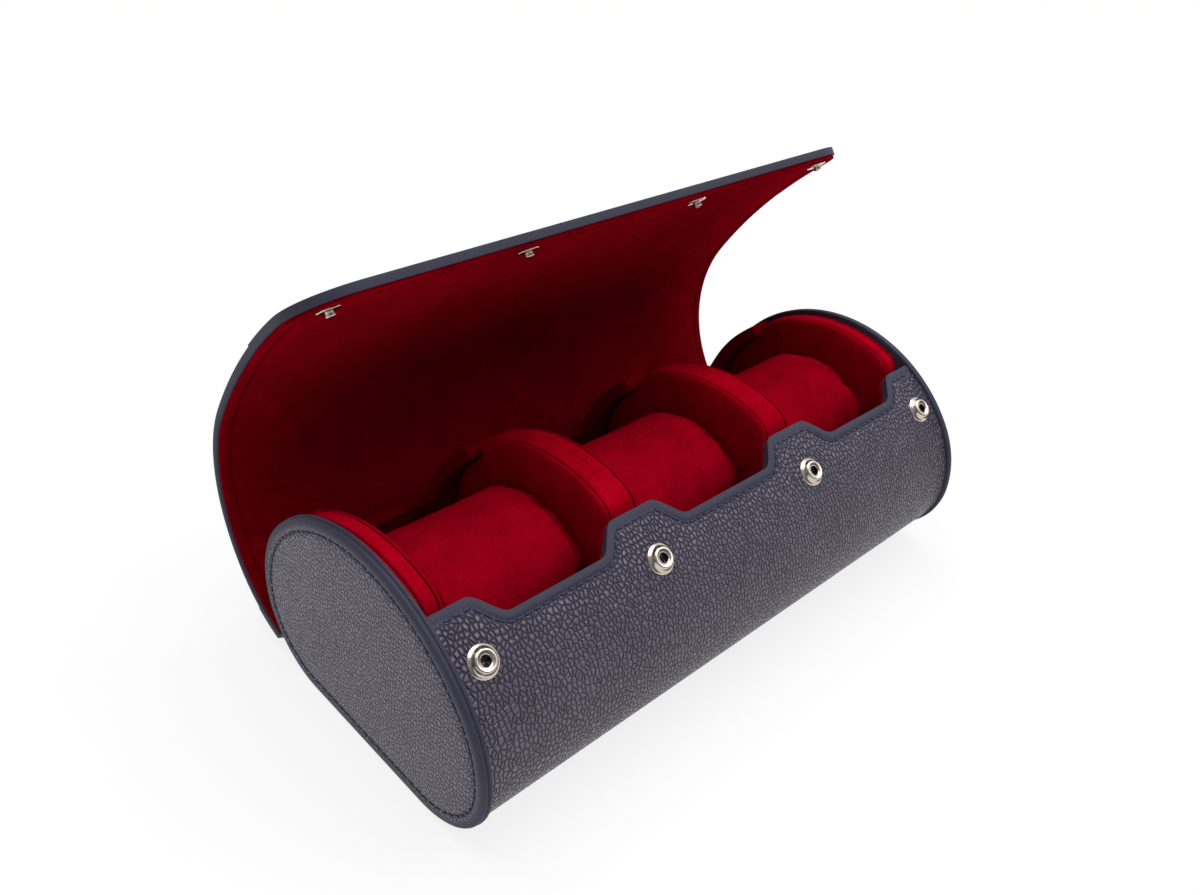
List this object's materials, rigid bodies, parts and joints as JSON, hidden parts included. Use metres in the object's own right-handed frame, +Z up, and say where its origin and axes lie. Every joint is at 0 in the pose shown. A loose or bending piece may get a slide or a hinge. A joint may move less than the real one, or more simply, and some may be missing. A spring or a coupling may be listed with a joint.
{
  "type": "watch travel case",
  "caption": "Rigid leather watch travel case with D-shaped ends, red suede interior with removable cushions between padded dividers, and a wrap-over lid that snaps to the front.",
  "frame": {"origin": "centre of the flat underside, on the surface the case stands on", "axes": "+X along the case, +Y to the back where the lid is attached, +Z up"},
  "size_m": [0.21, 0.1262, 0.1291],
  "materials": {
    "pebbled_leather": "pebbled, semi-matt, dark navy-grey",
    "case_board": "grey fibre board, hidden",
    "lid_board": "thin grey fibre board, hidden",
    "red_suede_lining": "napped red suede",
    "red_suede_partitions": "napped red suede",
    "red_suede_cushions": "napped red suede",
    "padding": "firm felt padding, hidden",
    "foam": "foam core, hidden",
    "snap_socket_metal": "polished nickel plate",
    "snap_stud_metal": "polished nickel plate",
    "snap_rivet_metal": "plain nickel plate"
  },
  "bodies": {
    "case": {"back_wall_board": "case_board", "back_wall_facing": "red_suede_lining", "back_wall_lining": "red_suede_lining", "divider_core_left": "padding", "divider_core_right": "padding", "divider_faces_left": "red_suede_partitions", "divider_faces_right": "red_suede_partitions", "divider_gusset_left": "red_suede_partitions", "divider_gusset_right": "red_suede_partitions", "end_disc_board_left": "case_board", "end_disc_board_right": "case_board", "end_disc_leather_left": "pebbled_leather", "end_disc_leather_right": "pebbled_leather", "end_pad_core_left": "padding", "end_pad_core_right": "padding", "end_pad_face_left": "red_suede_partitions", "end_pad_face_right": "red_suede_partitions", "end_pad_gusset_left": "red_suede_partitions", "end_pad_gusset_right": "red_suede_partitions", "shell_board": "case_board", "shell_leather": "pebbled_leather", "shell_lining": "red_suede_lining", "snap_sockets": "snap_socket_metal", "socket_rivets": "snap_rivet_metal", "tail_board": "lid_board", "tail_lining": "red_suede_lining"},
    "lid_panel_1": {"lid_leather_1": "pebbled_leather", "lid_board_1": "lid_board", "lid_lining_1": "red_suede_lining"},
    "lid_panel_2": {"lid_leather_2": "pebbled_leather", "lid_board_2": "lid_board", "lid_lining_2": "red_suede_lining"},
    "lid_panel_3": {"lid_leather_3": "pebbled_leather", "lid_board_3": "lid_board", "lid_lining_3": "red_suede_lining"},
    "lid_panel_4": {"lid_leather_4": "pebbled_leather", "lid_board_4": "lid_board", "lid_lining_4": "red_suede_lining"},
    "lid_panel_5": {"lid_leather_5": "pebbled_leather", "lid_board_5": "lid_board", "lid_lining_5": "red_suede_lining", "snap_studs": "snap_stud_metal", "stud_rivets": "snap_rivet_metal"},
    "cushion_1": {"cushion_cover_1": "red_suede_cushions", "cushion_core_1": "foam", "cushion_ends_1": "red_suede_cushions"},
    "cushion_2": {"cushion_cover_2": "red_suede_cushions", "cushion_core_2": "foam", "cushion_ends_2": "red_suede_cushions"},
    "cushion_3": {"cushion_cover_3": "red_suede_cushions", "cushion_core_3": "foam", "cushion_ends_3": "red_suede_cushions"}
  },
  "joints": [
    {"name": "lid_fold_1", "type": "hinge", "parent": "case", "child": "lid_panel_1", "pos_m": [0, 0.04874, 0.00751], "axis": [-1, 0, 0], "range_deg": [-37.99, 30]},
    {"name": "lid_fold_2", "type": "hinge", "parent": "lid_panel_1", "child": "lid_panel_2", "pos_m": [0, 0.06039, 0.0151], "axis": [-1, 0, 0], "range_deg": [-3.13, 2.47]},
    {"name": "lid_fold_3", "type": "hinge", "parent": "lid_panel_2", "child": "lid_panel_3", "pos_m": [0, 0.06443, 0.07766], "axis": [-1, 0, 0], "range_deg": [-8.74, 6.91]},
    {"name": "lid_fold_4", "type": "hinge", "parent": "lid_panel_3", "child": "lid_panel_4", "pos_m": [0, 0.05249, 0.09493], "axis": [-1, 0, 0], "range_deg": [-10.02, 7.92]},
    {"name": "snap_flap_fold", "type": "hinge", "parent": "lid_panel_4", "child": "lid_panel_5", "pos_m": [0, 0.03871, 0.11075], "axis": [-1, 0, 0], "range_deg": [-23.21, 15]},
    {"name": "cushion_lift_1", "type": "slide", "parent": "case", "child": "cushion_1", "axis": [0, 0, 1], "range_m": [0, 0.05]},
    {"name": "cushion_lift_2", "type": "slide", "parent": "case", "child": "cushion_2", "axis": [0, 0, 1], "range_m": [0, 0.05]},
    {"name": "cushion_lift_3", "type": "slide", "parent": "case", "child": "cushion_3", "axis": [0, 0, 1], "range_m": [0, 0.05]}
  ],
  "couplings": [
    {"joint": "lid_fold_2", "follows": "lid_fold_1", "ratio": 0.08207},
    {"joint": "lid_fold_3", "follows": "lid_fold_1", "ratio": 0.22989},
    {"joint": "lid_fold_4", "follows": "lid_fold_1", "ratio": 0.2635}
  ]
}
